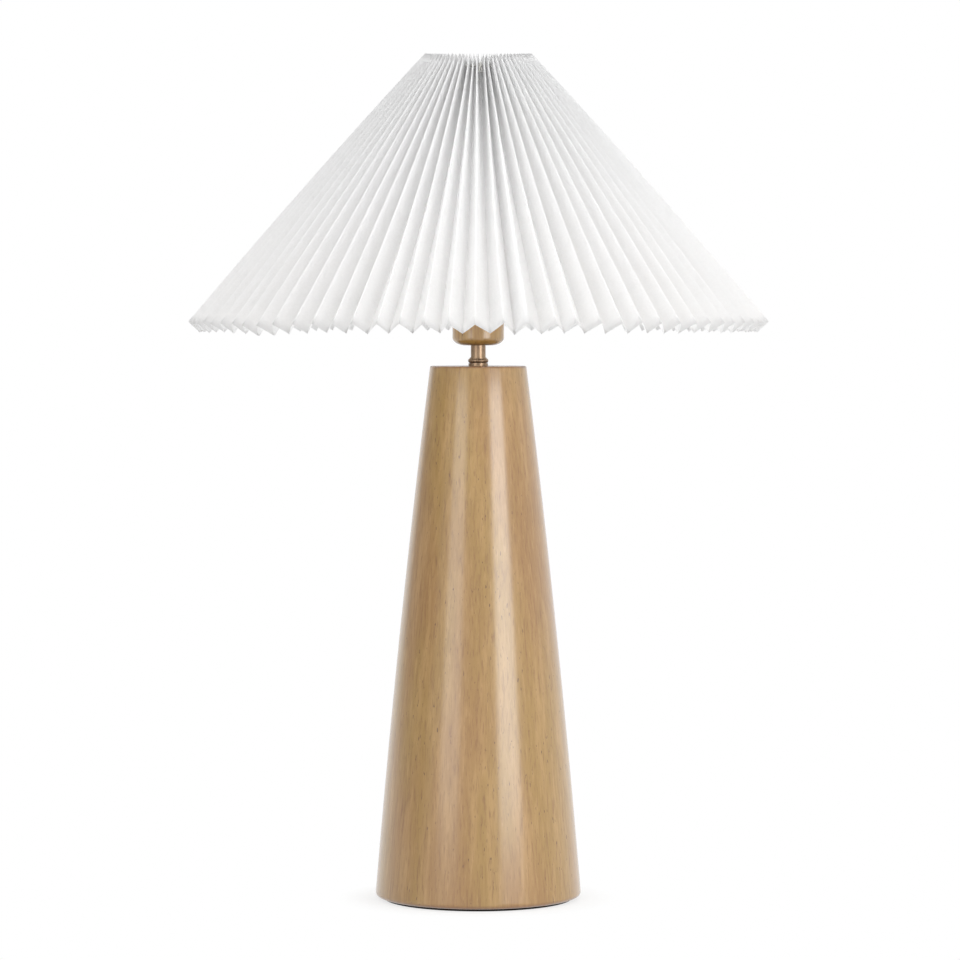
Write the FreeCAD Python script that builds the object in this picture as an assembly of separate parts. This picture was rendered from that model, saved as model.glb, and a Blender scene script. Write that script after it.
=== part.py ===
import FreeCAD, Part
# Pleated paper table lamp: a turned wooden body, a short brass neck, a wooden cup, a lamp holder
# with a turn switch, a bulb, and a pleated shade that is clamped on the holder's threaded skirt.
# Millimetres, +Z up. The origin is on the lamp's axis, at the underside of the felt pad.
# -Y is the front, where the switch knob points, and +Y is the back, where the supply cord enters.
# Screw threads are drawn as rings of the same pitch, with no helix.
import math
import os
from FreeCAD import Vector

# ---- driving dimensions -----------------------------------------------------------------------
WIRE_R = 1.5                # the shade frame's round wire
LOOSE = 0.4                 # room round a piece that drops over another
RUNNING = 0.08              # room round a piece that turns in another
TOUCH = 0.05                # room between flat faces that turn on each other

# Wooden body
FELT_H = 2.0
FELT_R = 75.0
BODY_BOTTOM_R = 82.2
BODY_TOP_R = 38.3
BODY_TOP_Z = 425.0
BODY_BULGE = 2.2            # how far the side's long arc stands outside the straight line
BODY_BOTTOM_EDGE_R = 3.5
BODY_TOP_EDGE_R = 1.2
CHAMBER_R = 68.0            # wiring chamber under the base plate
HOLLOW_BOTTOM_R = 56.0
HOLLOW_TOP_R = 20.0
HOLLOW_TOP_Z = 395.0
ROD_HOLE_R = 5.3

# Bottom of the body
COVER_R = 71.7
COVER_H = 3.0
PLATE_R = 67.6
PLATE_Z = 28.0
PLATE_H = 12.0
BALLAST_R = 50.0
BALLAST_H = 18.0
SCREW_CIRCLE_R = 62.0
SCREW_COUNT = 4
SCREW_R = 1.75
SCREW_HEAD_R = 4.0
SCREW_LENGTH = 25.0
BUSH_Z = 14.0
BUSH_BORE_R = 3.4
BUSH_R = 5.0
BUSH_FLANGE_R = 7.5
BUSH_FLANGE_H = 1.8
BUSH_INNER_Y = 67.0
BUSH_SEAT_Y = 80.2

# Threaded tube through the middle, and what is screwed on it
ROD_R = 5.0
ROD_BORE_R = 3.6
ROD_BOTTOM_Z = 19.0
ROD_TOP_Z = 455.0
NUT_FLATS = 14.0
NUT_H = 6.0
WASHER_R = 12.0
WASHER_H = 1.6

# Neck and cup
SEAT_FLANGE_R = 7.8
SEAT_FLANGE_H = 2.0
SEAT_GROOVE_R = 6.8
SEAT_GROOVE_H = 0.4
BEAD_R = 8.1
BEAD_H = 3.4
NECK_LIP_R = 6.75
NECK_LIP_H = 0.8
NECK_R = 5.9
NECK_TOP_Z = 441.2
CUP_R = 20.5
CUP_H = 26.0
CUP_EDGE_R = 6.5
CUP_RIM_R = 1.0
CUP_WALL = 3.2
CUP_FLOOR = 6.0

# Lamp holder
HOLDER_R = 16.9
HOLDER_WALL = 2.3
HOLDER_JOINT_Z = 467.6      # where the holder's cap meets its body
HOLDER_FLOOR_H = 1.5
HOLDER_FLOOR_HOLE_R = 4.5
SHOULDER_Z = 486.0
SHOULDER_R = 24.0
SHOULDER_H = 2.0
SKIRT_R = 19.6
SKIRT_PITCH = 2.5
SKIRT_THREAD_H = 0.7
SKIRT_TOP_Z = 512.0
SHELL_BORE_R = 15.0
SHEET_METAL = 0.4           # the screw shell's brass
CONTACT_T = 0.5

# Turn switch
SWITCH_Z = 476.0
SWITCH_BLOCK_R = 11.0
SWITCH_BLOCK_Z = 469.0
SWITCH_FLAT_X = 10.0
SPINDLE_R = 2.0
SPINDLE_BACK_Y = -2.0
SPINDLE_LENGTH = 25.0
ROTOR_R = 4.9
ROTOR_LENGTH = 5.0
ROTOR_LOBES = 4
COLLAR_R = 4.6
COLLAR_NECK_R = 3.5
COLLAR_STAND = 2.6          # how far the collar stands out of the holder
KNOB_R = 5.2
KNOB_BACK_Y = -22.0
KNOB_LENGTH = 16.0
KNOB_FLUTES = 12
TERMINAL_T = 1.4
TERMINAL_Z = 471.0

# Shade carrier and clamp ring
CARRIER_R = 26.5
CARRIER_H = 1.6
ARM_BEND_R = 60.0           # the arms run level this far out, clear of the switch knob
CLAMP_R = 27.0
CLAMP_H = 8.0
CLAMP_FLUTES = 24
SLIP_WASHER_R = 25.0
SLIP_WASHER_H = 1.0

# Bulb
BULB_TIP_Z = 487.2
BULB_R = 30.0
BULB_H = 105.0
GLASS_T = 1.0
CAP_R = 13.05
CAP_H = 26.5                # from the tip to the cap's rim
CAP_PITCH = 3.63
CAP_THREAD_H = 0.8
TIP_R = 4.4
TIP_H = 1.6
INSULATOR_R = 9.0
INSULATOR_H = 3.8

# Pleated shade. The sheet is a flat strip, folded across its width into equal panels.
PLEATS = 80
PLEAT_WIDTH = 15.0          # from a mountain fold to the next valley fold, across the sheet
SHEET_T = 0.4
SHADE_TOP_R = 34.4          # to the middle of the pleats' depth
SHADE_TOP_Z = 670.05
SHADE_BOTTOM_R = 225.45
SHADE_BOTTOM_Z = 455.5
SHADE_BULGE = 1.2           # how far the side bows out of the straight line
SHADE_STEPS = 2             # straight lengths that make up the bowed side
SHEET_GAP = 0.15            # room between the valley folds and the wire
TOP_RING_Z = 655.0
BOTTOM_RING_Z = 470.0
RIBS = 6
FIRST_RIB = 60.0            # degrees from +X
ARMS = 3
FIRST_ARM = 90.0            # so that every arm lands midway between two ribs
LACE_R = 0.8
LACE_DOWN = 14.0            # how far below the sheet's top edge the lace is threaded

# Wiring
LEAD_R = 1.1
LEAD_LOW_Z = 8.0
LEAD_APART = 1.5
LEAD_TOP_X = 11.2
BLOCK_Y = 30.0
BLOCK_POLE = 8.0
BLOCK_DEPTH = 14.0
BLOCK_H = 11.0
BLOCK_SCREW_IN = 3.5        # from the block's ends to its screws
BLOCK_WELL_H = 4.0

# ---- worked out from them ---------------------------------------------------------------------
COVER_TOP_Z = FELT_H + COVER_H
PLATE_TOP_Z = PLATE_Z + PLATE_H
BALLAST_TOP_Z = PLATE_TOP_Z + BALLAST_H
BEAD_Z = BODY_TOP_Z + SEAT_FLANGE_H + SEAT_GROOVE_H
NECK_Z = BEAD_Z + BEAD_H + NECK_LIP_H
CUP_TOP_Z = NECK_TOP_Z + CUP_H
CUP_FLOOR_Z = NECK_TOP_Z + CUP_FLOOR
HOLDER_FLOOR_Z = SHOULDER_Z - HOLDER_FLOOR_H
SHOULDER_TOP_Z = SHOULDER_Z + SHOULDER_H
CARRIER_Z = SHOULDER_TOP_Z + TOUCH
CARRIER_MID_Z = CARRIER_Z + CARRIER_H / 2
WASHER_Z = CARRIER_Z + CARRIER_H + TOUCH
CLAMP_Z = WASHER_Z + SLIP_WASHER_H + TOUCH
CAP_TOP_Z = BULB_TIP_Z + CAP_H

X = Vector(1, 0, 0)
Y = Vector(0, 1, 0)
Z = Vector(0, 0, 1)
ORIGIN = Vector(0, 0, 0)
SWITCH_AXIS = Vector(0, 0, SWITCH_Z)
THROUGH = 40.0              # longer than anything that a cutter goes through


# ---- shapes that several pieces share ---------------------------------------------------------
def at(r, z):
    """A point of a turned profile."""
    return Vector(r, 0, z)


def on_circle(r, degrees, z):
    a = math.radians(degrees)
    return Vector(r * math.cos(a), r * math.sin(a), z)


def turned(edges):
    """The solid turned about the lamp's axis from a closed chain of profile edges."""
    face = Part.Face(Part.Wire(edges))
    return face.revolve(ORIGIN, Z, 360)


def outline(points):
    """Straight profile edges through (radius, height) points."""
    return Part.makePolygon([at(r, z) for r, z in points]).Edges


def turned_points(points):
    return turned(outline(points + points[:1]))


def ring(r_in, r_out, z, height):
    return turned_points([(r_in, z), (r_out, z), (r_out, z + height), (r_in, z + height)])


def cylinder(r, start, direction, length):
    return Part.makeCylinder(r, length, start, direction)


def torus(major, minor, z):
    return Part.makeTorus(major, minor, Vector(0, 0, z), Z)


def hex_nut(flats, bore_r, z, height):
    corner = flats / math.sqrt(3)
    corners = [on_circle(corner, 60 * i, z) for i in range(7)]
    prism = Part.Face(Part.makePolygon(corners)).extrude(Z * height)
    chamfer = 1.0
    envelope = turned_points([(0, z), (flats / 2, z), (corner, z + chamfer), (corner, z + height - chamfer),
                              (flats / 2, z + height), (0, z + height)])
    return prism.common(envelope).cut(cylinder(bore_r, Vector(0, 0, z), Z, height))


def ridges(r, depth, pitch, z_low, z_high):
    """The (radius, height) points of a thread's crests and roots, from low to high."""
    points = []
    for i in range(int((z_high - z_low) / pitch)):
        z = z_low + i * pitch
        points += [(r - depth, z), (r, z + 0.3 * pitch), (r, z + 0.5 * pitch),
                   (r - depth, z + 0.8 * pitch)]
    return points


def round_edges(solid, radius, chosen):
    return solid.makeFillet(radius, [e for e in solid.Edges if chosen(e)])


def circle_at(r, z):
    """Picks the circular edge of a turned solid at that radius and height."""
    def chosen(edge):
        c = edge.Curve
        return isinstance(c, Part.Circle) and abs(c.Radius - r) < 0.01 and abs(c.Center.z - z) < 0.01
    return chosen


def bent_path(points, share=0.45):
    """A wire of straight runs joined by tangent arcs, each as large as its two runs allow."""
    edges = []
    last = points[0]
    for before, corner, after in zip(points, points[1:], points[2:]):
        a = (before - corner).normalize()
        b = (after - corner).normalize()
        turn = math.pi - a.getAngle(b)
        reach = share * min((before - corner).Length, (after - corner).Length)
        radius = reach / math.tan(turn / 2)
        start = corner + a * reach
        end = corner + b * reach
        middle = corner + (a + b).normalize() * (radius / math.cos(turn / 2) - radius)
        edges.append(Part.LineSegment(last, start).toShape())
        edges.append(Part.Arc(start, middle, end).toShape())
        last = end
    edges.append(Part.LineSegment(last, points[-1]).toShape())
    return Part.Wire(edges)


def bent_wire(points, r):
    section = Part.Wire(Part.makeCircle(r, points[0], points[1] - points[0]))
    return bent_path(points).makePipeShell([section], True, False)


def largest(shape):
    return max(shape.Solids, key=lambda s: s.Volume)


def save(name, shape):
    """Writes one node. A group of identical solids stays a compound."""
    solids = shape.Solids
    for solid in solids:
        assert solid.isValid() and solid.Volume > 0, name
    shape = solids[0] if len(solids) == 1 else Part.makeCompound(solids)
    shape.exportStep("parts/" + name + ".step")
    print(f"{name:22s} {len(solids):2d} solid(s) {shape.Volume:12.1f} mm3 {len(shape.Faces):5d} faces")


# ---- wooden body and its bottom ---------------------------------------------------------------
def screw_places(z):
    return [on_circle(SCREW_CIRCLE_R, 45 + i * 360 / SCREW_COUNT, z) for i in range(SCREW_COUNT)]


def wood_body():
    """A turned cone with a slightly bowed side, hollow above, with a stepped recess below."""
    bottom = at(BODY_BOTTOM_R, FELT_H)
    top = at(BODY_TOP_R, BODY_TOP_Z)
    outward = Vector((top - bottom).z, 0, -(top - bottom).x).normalize()
    side = Part.Arc(bottom, (bottom + top) / 2 + outward * BODY_BULGE, top).toShape()
    recess_r = COVER_R + LOOSE
    inside = outline([(BODY_TOP_R, BODY_TOP_Z), (ROD_HOLE_R, BODY_TOP_Z), (ROD_HOLE_R, HOLLOW_TOP_Z),
                      (HOLLOW_TOP_R, HOLLOW_TOP_Z), (HOLLOW_BOTTOM_R, PLATE_TOP_Z),
                      (CHAMBER_R, PLATE_TOP_Z), (CHAMBER_R, COVER_TOP_Z), (recess_r, COVER_TOP_Z),
                      (recess_r, FELT_H), (BODY_BOTTOM_R, FELT_H)])
    body = turned([side] + inside)
    body = round_edges(body, BODY_BOTTOM_EDGE_R, circle_at(BODY_BOTTOM_R, FELT_H))
    body = round_edges(body, BODY_TOP_EDGE_R, circle_at(BODY_TOP_R, BODY_TOP_Z))
    body = body.cut(cylinder(BUSH_R, Vector(0, BUSH_INNER_Y, BUSH_Z), Y, THROUGH))
    body = body.cut(cylinder(BUSH_FLANGE_R + LOOSE, Vector(0, BUSH_SEAT_Y, BUSH_Z), Y, THROUGH))
    for foot in screw_places(PLATE_TOP_Z):
        body = body.cut(cylinder(SCREW_R, foot, Z, SCREW_LENGTH - PLATE_H))
    return body


def felt_pad():
    return cylinder(FELT_R, ORIGIN, Z, FELT_H)


def bottom_cover():
    """The board that closes the wiring chamber."""
    return cylinder(COVER_R, Vector(0, 0, FELT_H), Z, COVER_H)


def screw_profile(head_r, point_h, length):
    """A countersunk wood screw from its head's flat up to its point, as (radius, height) points."""
    head_h = head_r - SCREW_R
    return [(0, 0), (head_r, 0), (SCREW_R, head_h), (SCREW_R, length - point_h), (0, length)]


def base_screws():
    slot_w, slot_h, point_h = 0.8, 0.9, 4.0
    screw = turned_points(screw_profile(SCREW_HEAD_R, point_h, SCREW_LENGTH))
    slot = Part.makeBox(2 * SCREW_HEAD_R, slot_w, slot_h, Vector(-SCREW_HEAD_R, -slot_w / 2, 0))
    screw = screw.cut(slot).cut(slot.rotated(ORIGIN, Z, 90))
    return Part.makeCompound([screw.translated(place) for place in screw_places(PLATE_Z)])


def base_plate():
    """The board that the tube's lower nut pulls on, screwed up against the body's ledge."""
    plate = ring(ROD_HOLE_R, PLATE_R, PLATE_Z, PLATE_H)
    no_point = 0.0
    hole = turned_points(screw_profile(SCREW_HEAD_R + TOUCH, no_point, THROUGH))
    for place in screw_places(PLATE_Z):
        plate = plate.cut(hole.translated(place))
    return plate


def ballast():
    chamfer = 2.0
    disc = ring(ROD_HOLE_R + LOOSE, BALLAST_R, PLATE_TOP_Z, BALLAST_H)
    return disc.makeChamfer(chamfer, [e for e in disc.Edges if circle_at(BALLAST_R, BALLAST_TOP_Z)(e)])


def cord_bush():
    lip_r = 0.8
    outer_y = BUSH_SEAT_Y + BUSH_FLANGE_H
    start = Vector(0, BUSH_INNER_Y, BUSH_Z)
    flange = cylinder(BUSH_FLANGE_R, Vector(0, BUSH_SEAT_Y, BUSH_Z), Y, BUSH_FLANGE_H)
    flange = round_edges(flange, lip_r, lambda e: abs(e.BoundBox.YMin - outer_y) < 0.01)
    shank = cylinder(BUSH_R, start, Y, BUSH_SEAT_Y - BUSH_INNER_Y)
    return shank.fuse(flange).cut(cylinder(BUSH_BORE_R, start, Y, THROUGH)).removeSplitter()


# ---- threaded tube, neck and cup --------------------------------------------------------------
def threaded_tube():
    return ring(ROD_BORE_R, ROD_R, ROD_BOTTOM_Z, ROD_TOP_Z - ROD_BOTTOM_Z)


def seat_ring():
    """The foot of the neck: a flat flange, a groove, a rounded bead and a thin lip."""
    bore = ROD_R + RUNNING
    flange_top = BODY_TOP_Z + SEAT_FLANGE_H
    bead_top = BEAD_Z + BEAD_H
    bead_round = 1.0        # how far the bead's middle stands out past its edges
    bead_in = BEAD_R - bead_round
    below = outline([(bore, BODY_TOP_Z), (SEAT_FLANGE_R, BODY_TOP_Z), (SEAT_FLANGE_R, flange_top),
                     (SEAT_GROOVE_R, flange_top), (SEAT_GROOVE_R, BEAD_Z), (bead_in, BEAD_Z)])
    bead = Part.Arc(at(bead_in, BEAD_Z), at(BEAD_R, BEAD_Z + BEAD_H / 2), at(bead_in, bead_top)).toShape()
    above = outline([(bead_in, bead_top), (NECK_LIP_R, bead_top), (NECK_LIP_R, NECK_Z), (bore, NECK_Z),
                     (bore, BODY_TOP_Z)])
    return turned(below + [bead] + above)


def neck_tube():
    return ring(ROD_R + RUNNING, NECK_R, NECK_Z, NECK_TOP_Z - NECK_Z)


def wood_cup():
    """A turned cup with a round bottom edge, clamped by the holder's cap that stands in it."""
    bore = ROD_HOLE_R
    inner = CUP_R - CUP_WALL
    cup = turned_points([(bore, NECK_TOP_Z), (CUP_R, NECK_TOP_Z), (CUP_R, CUP_TOP_Z), (inner, CUP_TOP_Z),
                         (inner, CUP_FLOOR_Z), (bore, CUP_FLOOR_Z)])
    cup = round_edges(cup, CUP_EDGE_R, circle_at(CUP_R, NECK_TOP_Z))
    return round_edges(cup, CUP_RIM_R, circle_at(CUP_R, CUP_TOP_Z))


# ---- lamp holder ------------------------------------------------------------------------------
def holder_cap():
    """The holder's lower half, screwed on the tube. Its boss clamps the cup and the neck."""
    bore = ROD_R + TOUCH
    boss_r, foot_r = 7.5, 8.5
    joint_step = 0.3        # the cap is that much smaller than the body above it
    r_out = HOLDER_R - joint_step
    r_in = r_out - HOLDER_WALL
    foot_top = CUP_FLOOR_Z + 4.0
    flare_top = CUP_FLOOR_Z + 10.0
    floor_z = foot_top + 2.5
    wall_z = flare_top + 1.2
    return turned_points([(bore, CUP_FLOOR_Z), (foot_r, CUP_FLOOR_Z), (foot_r, foot_top),
                          (r_out, flare_top), (r_out, HOLDER_JOINT_Z), (r_in, HOLDER_JOINT_Z),
                          (r_in, wall_z), (boss_r, floor_z), (boss_r, ROD_TOP_Z), (bore, ROD_TOP_Z)])


def holder_body():
    """The holder's upper half: switch chamber, shoulder that carries the shade, threaded skirt."""
    root = SKIRT_R - SKIRT_THREAD_H
    chamber_r = HOLDER_R - HOLDER_WALL
    outside = [(HOLDER_R, HOLDER_JOINT_Z), (HOLDER_R, SHOULDER_Z), (SHOULDER_R, SHOULDER_Z),
               (SHOULDER_R, SHOULDER_TOP_Z), (root, SHOULDER_TOP_Z)]
    thread = ridges(SKIRT_R, SKIRT_THREAD_H, SKIRT_PITCH, CLAMP_Z, SKIRT_TOP_Z)
    inside = [(root, SKIRT_TOP_Z), (SHELL_BORE_R, SKIRT_TOP_Z), (SHELL_BORE_R, SHOULDER_Z),
              (HOLDER_FLOOR_HOLE_R, SHOULDER_Z), (HOLDER_FLOOR_HOLE_R, HOLDER_FLOOR_Z),
              (chamber_r, HOLDER_FLOOR_Z), (chamber_r, HOLDER_JOINT_Z)]
    body = turned_points(outside + thread + inside)
    return body.cut(cylinder(COLLAR_NECK_R, SWITCH_AXIS, -Y, THROUGH))


def screw_shell():
    """The holder's rolled brass shell, standing on its floor. Its ridges are clear of the bulb's cap."""
    cap_room = 0.25
    root = CAP_R + cap_room + SHEET_METAL
    lip_r = 9.5
    lip_top = SHOULDER_Z + SHEET_METAL
    thread_z = SHOULDER_Z + 3.5
    rim_z = SKIRT_TOP_Z - 2.0
    thread = ridges(root + CAP_THREAD_H, CAP_THREAD_H, CAP_PITCH, thread_z, rim_z)
    inner = [(r - SHEET_METAL, z) for r, z in reversed(thread)]
    foot = [(root - SHEET_METAL, lip_top), (lip_r, lip_top), (lip_r, SHOULDER_Z), (root, SHOULDER_Z)]
    return turned_points(thread + inner + foot)


def centre_contact():
    """A sprung brass tongue: a foot held under the holder's floor, a riser, a pad under the bulb's tip."""
    pad_x, pad_y, foot_y = 6.0, 5.0, 4.0
    riser_x, foot_end_x = 2.5, 8.0
    tip_room = 0.2
    pad_z = BULB_TIP_Z - tip_room - CONTACT_T
    foot_z = HOLDER_FLOOR_Z - CONTACT_T
    pad = Part.makeBox(pad_x, pad_y, CONTACT_T, Vector(-pad_x / 2, -pad_y / 2, pad_z))
    riser = Part.makeBox(CONTACT_T, foot_y, pad_z - foot_z, Vector(riser_x, -foot_y / 2, foot_z))
    foot = Part.makeBox(foot_end_x - riser_x, foot_y, CONTACT_T, Vector(riser_x, -foot_y / 2, foot_z))
    return pad.fuse(riser).fuse(foot).removeSplitter()


# ---- turn switch ------------------------------------------------------------------------------
def switch_block():
    """The insulating block, open to the front where the rotor goes in."""
    height = HOLDER_FLOOR_Z - CONTACT_T - SWITCH_BLOCK_Z
    block = cylinder(SWITCH_BLOCK_R, Vector(0, 0, SWITCH_BLOCK_Z), Z, height)
    corner = Vector(-SWITCH_FLAT_X, -THROUGH / 2, SWITCH_BLOCK_Z)
    flats = Part.makeBox(2 * SWITCH_FLAT_X, THROUGH, THROUGH, corner)
    pocket = cylinder(ROTOR_R + LOOSE, Vector(0, SPINDLE_BACK_Y + LOOSE, SWITCH_Z), -Y, THROUGH)
    return block.common(flats).cut(pocket)


def switch_terminals():
    """Two brass plates on the switch block's flats, one for each lead."""
    wide, high = 6.0, 9.0
    plate = Part.makeBox(TERMINAL_T, wide, high, Vector(SWITCH_FLAT_X, -wide / 2, TERMINAL_Z))
    return Part.makeCompound([plate, plate.rotated(ORIGIN, Z, 180)])


def terminal_screws():
    head_r, head_h, slot_w, slot_h = 2.5, 1.7, 0.8, 0.7
    x = SWITCH_FLAT_X + TERMINAL_T
    head = cylinder(head_r, Vector(x, 0, SWITCH_Z), X, head_h)
    corner = Vector(x + head_h - slot_h, -head_r, SWITCH_Z - slot_w / 2)
    slot = Part.makeBox(slot_h, 2 * head_r, slot_w, corner)
    screw = head.cut(slot)
    return Part.makeCompound([screw, screw.rotated(ORIGIN, Z, 180)])


def switch_rotor():
    """The lobed cam that makes and breaks the contact."""
    notch_r = 1.8
    notch_out = 0.7         # the notches' centres lie that far outside the rotor's edge
    rotor = cylinder(ROTOR_R, Vector(0, SPINDLE_BACK_Y, SWITCH_Z), -Y, ROTOR_LENGTH)
    rotor = rotor.cut(cylinder(SPINDLE_R, SWITCH_AXIS, -Y, THROUGH))
    notch = cylinder(notch_r, Vector(ROTOR_R + notch_out, 0, SWITCH_Z), -Y, THROUGH)
    for i in range(ROTOR_LOBES):
        rotor = rotor.cut(notch.rotated(SWITCH_AXIS, Y, 45 + i * 360 / ROTOR_LOBES))
    return rotor


def switch_spindle():
    return cylinder(SPINDLE_R, Vector(0, SPINDLE_BACK_Y, SWITCH_Z), -Y, SPINDLE_LENGTH)


def switch_collar():
    """The bearing that the spindle turns in: a neck in the holder's wall and a collar outside it."""
    inner_y = HOLDER_WALL - HOLDER_R
    neck = cylinder(COLLAR_NECK_R, Vector(0, inner_y, SWITCH_Z), -Y, HOLDER_WALL + COLLAR_STAND)
    collar = cylinder(COLLAR_R, Vector(0, inner_y, SWITCH_Z), -Y, HOLDER_WALL + COLLAR_STAND)
    collar = collar.cut(cylinder(HOLDER_R, Vector(0, 0, SWITCH_BLOCK_Z - 1), Z, THROUGH))
    bore = cylinder(SPINDLE_R + RUNNING, SWITCH_AXIS, -Y, THROUGH)
    return collar.fuse(neck).cut(bore).removeSplitter()


def switch_knob():
    """A fluted knob pressed on the spindle."""
    nose_r, flute_r, flute_out, back_land = 1.6, 0.8, 0.3, 2.0
    front_y = KNOB_BACK_Y - KNOB_LENGTH
    knob = cylinder(KNOB_R, Vector(0, KNOB_BACK_Y, SWITCH_Z), -Y, KNOB_LENGTH)
    knob = round_edges(knob, nose_r, lambda e: abs(e.BoundBox.YMax - front_y) < 0.01)
    flute_start = Vector(KNOB_R + flute_out, KNOB_BACK_Y - back_land, SWITCH_Z)
    flute = cylinder(flute_r, flute_start, -Y, KNOB_LENGTH)
    for i in range(KNOB_FLUTES):
        knob = knob.cut(flute.rotated(SWITCH_AXIS, Y, i * 360 / KNOB_FLUTES))
    spindle_end = SPINDLE_LENGTH - SPINDLE_BACK_Y
    return knob.cut(cylinder(SPINDLE_R, SWITCH_AXIS, -Y, spindle_end))


# ---- clamp ring and slip washer ---------------------------------------------------------------
def slip_washer():
    """Held in the clamp ring's underside, so that the ring turns without dragging the shade."""
    return ring(SKIRT_R + LOOSE, SLIP_WASHER_R, WASHER_Z, SLIP_WASHER_H)


def clamp_ring():
    """A fluted ring on the skirt's thread, with a recess below for the slip washer."""
    bore = SKIRT_R + RUNNING
    recess_r = SLIP_WASHER_R + 0.2
    bevel = 1.2
    rim_w = 0.8
    foot_z = WASHER_Z + 0.1
    top = CLAMP_Z + CLAMP_H
    body = turned_points([(bore, CLAMP_Z), (recess_r, CLAMP_Z), (recess_r, foot_z),
                          (recess_r + rim_w, foot_z), (CLAMP_R, foot_z + bevel), (CLAMP_R, top - bevel),
                          (CLAMP_R - bevel, top), (bore, top)])
    flute_r, flute_out = 1.2, 0.6
    for i in range(CLAMP_FLUTES):
        foot = on_circle(CLAMP_R + flute_out, i * 360 / CLAMP_FLUTES, foot_z - 1)
        body = body.cut(cylinder(flute_r, foot, Z, THROUGH))
    return body


# ---- bulb -------------------------------------------------------------------------------------
def bulb_tip():
    """The soldered centre contact."""
    z = BULB_TIP_Z
    top = z + TIP_H
    dome = Part.Arc(at(0, z), at(0.66 * TIP_R, z + 0.25 * TIP_H), at(TIP_R, top)).toShape()
    return turned([dome] + outline([(TIP_R, top), (0, top), (0, z)]))


def bulb_insulator():
    """The glass that keeps the tip apart from the cap."""
    rim_h = 0.8
    low_r = TIP_R + 0.2
    z = BULB_TIP_Z + TIP_H
    top = z + INSULATOR_H
    return turned_points([(0, z), (low_r, z), (INSULATOR_R, top - rim_h), (INSULATOR_R, top), (0, top)])


def bulb_cap():
    """The screwed brass cap, closed at the bottom round the insulator."""
    wall, flare_h, thread_h, foot_round = 0.5, 1.0, 15.0, 0.6
    z = BULB_TIP_Z + TIP_H + INSULATOR_H
    root = CAP_R - CAP_THREAD_H
    inside_r = root - wall
    thread_z = z + 2 * flare_h
    thread_top = thread_z + thread_h
    thread = ridges(CAP_R, CAP_THREAD_H, CAP_PITCH, thread_z, thread_top)
    outer = [(INSULATOR_R, z), (root - foot_round, z + flare_h)] + thread
    outer += [(CAP_R - wall, thread_top + wall), (CAP_R, CAP_TOP_Z)]
    inner = [(CAP_R - wall, CAP_TOP_Z), (inside_r, thread_top - flare_h),
             (inside_r, z + flare_h + foot_round), (INSULATOR_R, z + wall), (0, z + wall), (0, z)]
    return turned_points(outer + inner)


def bulb_glass():
    """A blown pear-shaped envelope, its neck set in the cap."""
    centre_z = BULB_TIP_Z + BULB_H - BULB_R
    neck_z = CAP_TOP_Z - 2.5
    neck_r = CAP_R - 1.9
    dome_pull, neck_pull = 14.0, 16.0       # the waist's curve leaves the dome and the neck that straight
    low = math.radians(-32)
    middle = math.radians(34)

    def skin(shrink):
        r = BULB_R - shrink
        dome_end = at(r * math.cos(low), centre_z + r * math.sin(low))
        dome_mid = at(r * math.cos(middle), centre_z + r * math.sin(middle))
        dome = Part.Arc(at(0, centre_z + r), dome_mid, dome_end).toShape()
        foot = at(neck_r - shrink, neck_z)
        waist = Part.BezierCurve()
        down_side = Vector(math.sin(low), 0, -math.cos(low)) * dome_pull
        waist.setPoles([dome_end, dome_end + down_side, foot + Z * neck_pull, foot])
        return [dome, waist.toShape()]

    closing = [Part.LineSegment(at(neck_r, neck_z), at(neck_r - GLASS_T, neck_z)).toShape(),
               Part.LineSegment(at(0, centre_z + BULB_R), at(0, centre_z + BULB_R - GLASS_T)).toShape()]
    return turned(Part.sortEdges(skin(0) + skin(GLASS_T) + closing)[0])


# ---- shade: pleated sheet, lace and wire frame ------------------------------------------------
SLOPE = math.atan2(SHADE_BOTTOM_R - SHADE_TOP_R, SHADE_TOP_Z - SHADE_BOTTOM_Z)
DOWN = (math.sin(SLOPE), -math.cos(SLOPE))        # along the folds, as (radius, height)
OUT = (math.cos(SLOPE), math.sin(SLOPE))          # across the pleats' depth
FOLD_LENGTH = math.hypot(SHADE_BOTTOM_R - SHADE_TOP_R, SHADE_TOP_Z - SHADE_BOTTOM_Z)


def fold_section(down):
    """The middle of the pleats' depth (radius, height) and that depth, at a distance down the folds."""
    share = down / FOLD_LENGTH
    bow = SHADE_BULGE * 4 * share * (1 - share)
    r = SHADE_TOP_R + down * DOWN[0] + bow * OUT[0]
    z = SHADE_TOP_Z + down * DOWN[1] + bow * OUT[1]
    half_pitch = math.pi * r / PLEATS
    return r, z, math.sqrt(PLEAT_WIDTH ** 2 - half_pitch ** 2)


def valley_r(z):
    """The radius of the valley folds at a height, on the straight line between their ends."""
    ends = []
    for down in (0, FOLD_LENGTH):
        r, mid_z, depth = fold_section(down)
        ends.append((r - depth / 2 * OUT[0], mid_z - depth / 2 * OUT[1]))
    (r0, z0), (r1, z1) = ends
    return r0 + (z0 - z) * (r1 - r0) / (z0 - z1)


def wire_ring_r(z):
    """The radius of a wire ring that lies just inside the valley folds."""
    return valley_r(z) - (WIRE_R + SHEET_GAP) / math.cos(SLOPE)


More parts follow.
